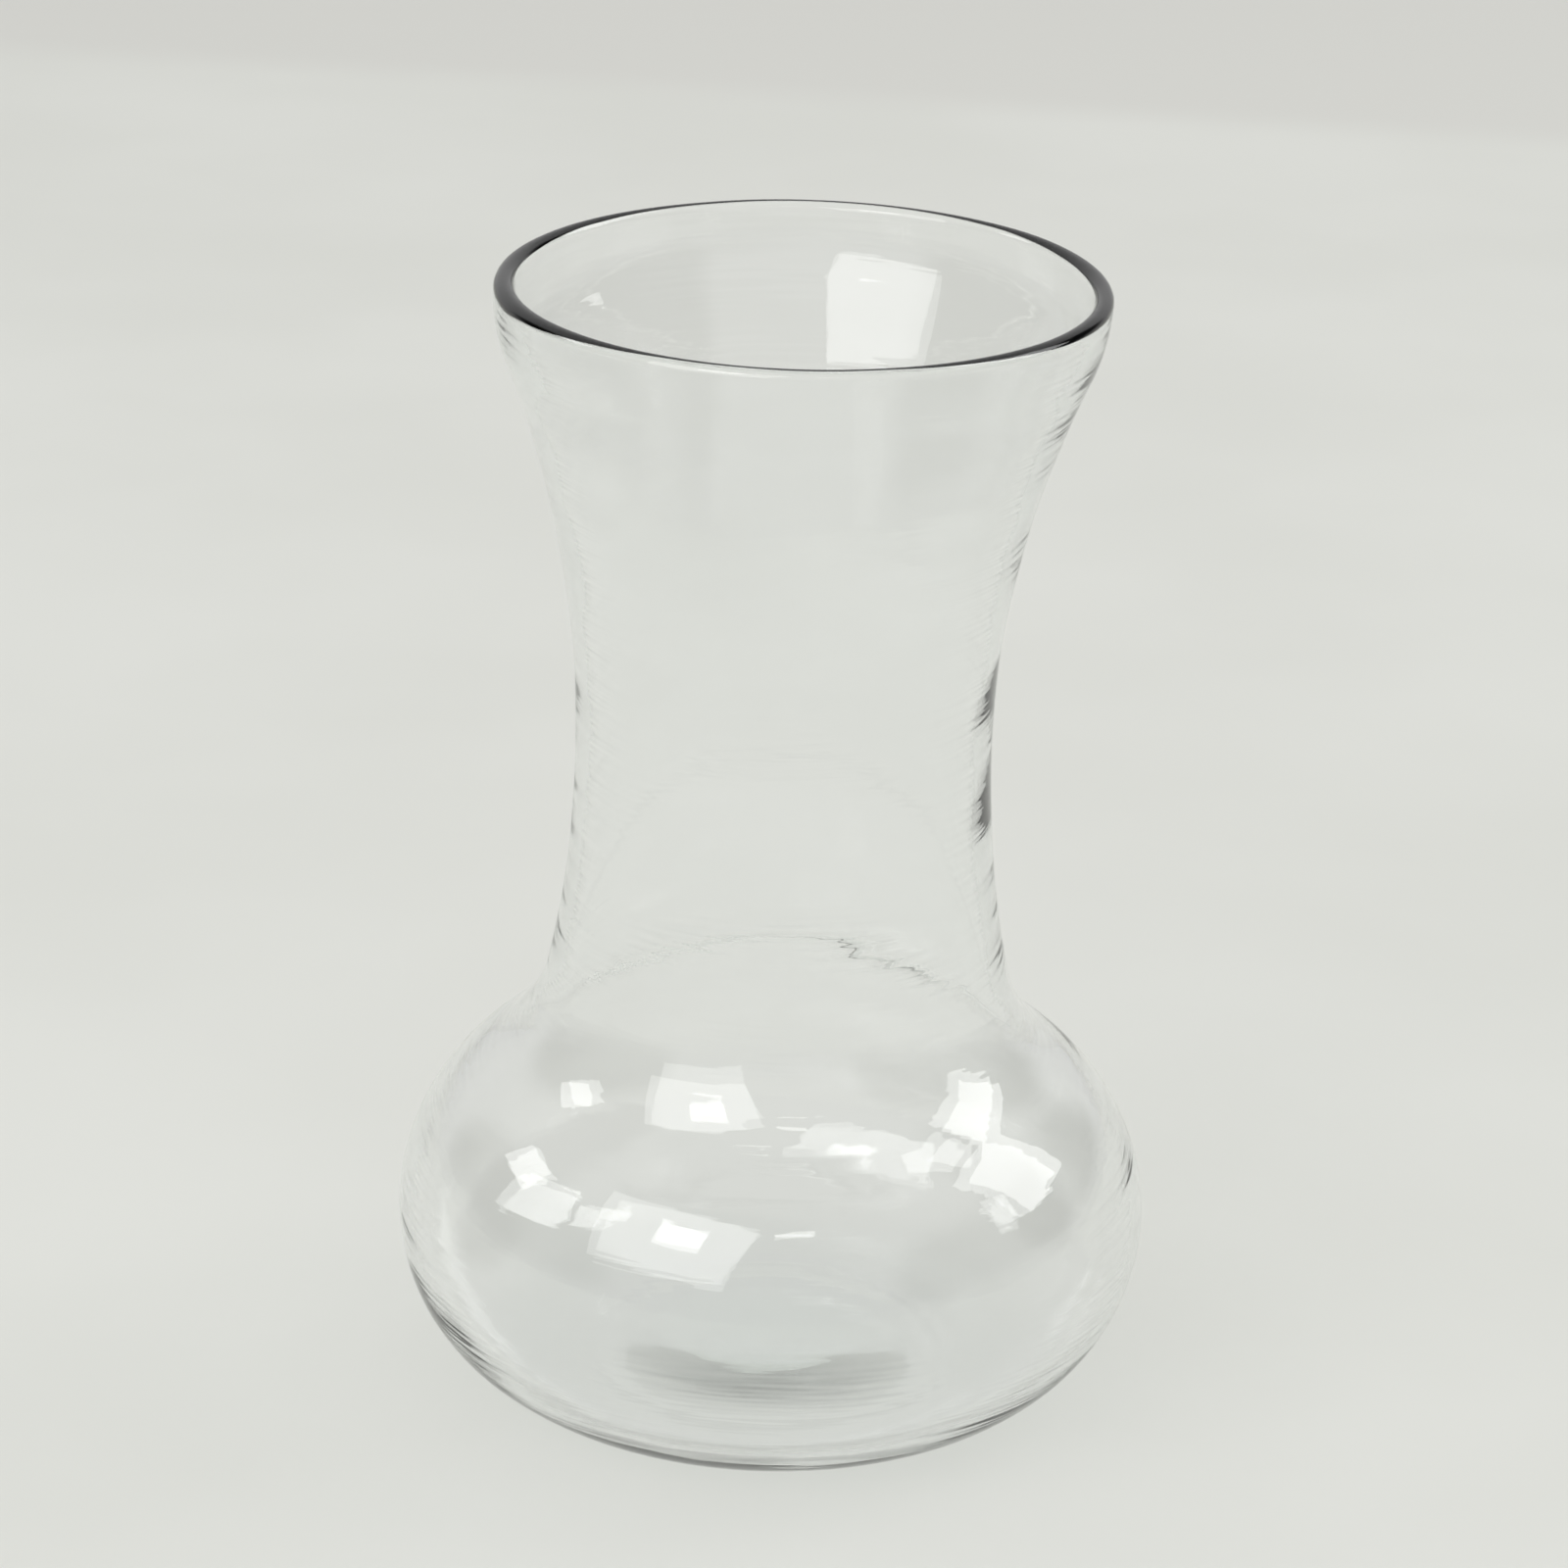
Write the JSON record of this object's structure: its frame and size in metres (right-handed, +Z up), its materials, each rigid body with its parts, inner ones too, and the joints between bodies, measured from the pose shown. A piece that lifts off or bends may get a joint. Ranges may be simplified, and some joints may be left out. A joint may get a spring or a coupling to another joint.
{
  "type": "hyacinth forcing vase",
  "caption": "Clear blown glass vase with a squat round bulb, a waisted neck and a flared mouth that cradles a flower bulb over water.",
  "frame": {"origin": "on the vase's axis, on the plane of the standing ring", "axes": "+Z up along the vase's axis of turning; X and Y are equivalent"},
  "size_m": [0.0954, 0.0954, 0.146],
  "materials": {
    "clear_glass": "clear soda-lime glass, fire-polished, with faint ripples around it"
  },
  "bodies": {
    "root": {"glass_vase": "clear_glass"}
  },
  "joints": []
}
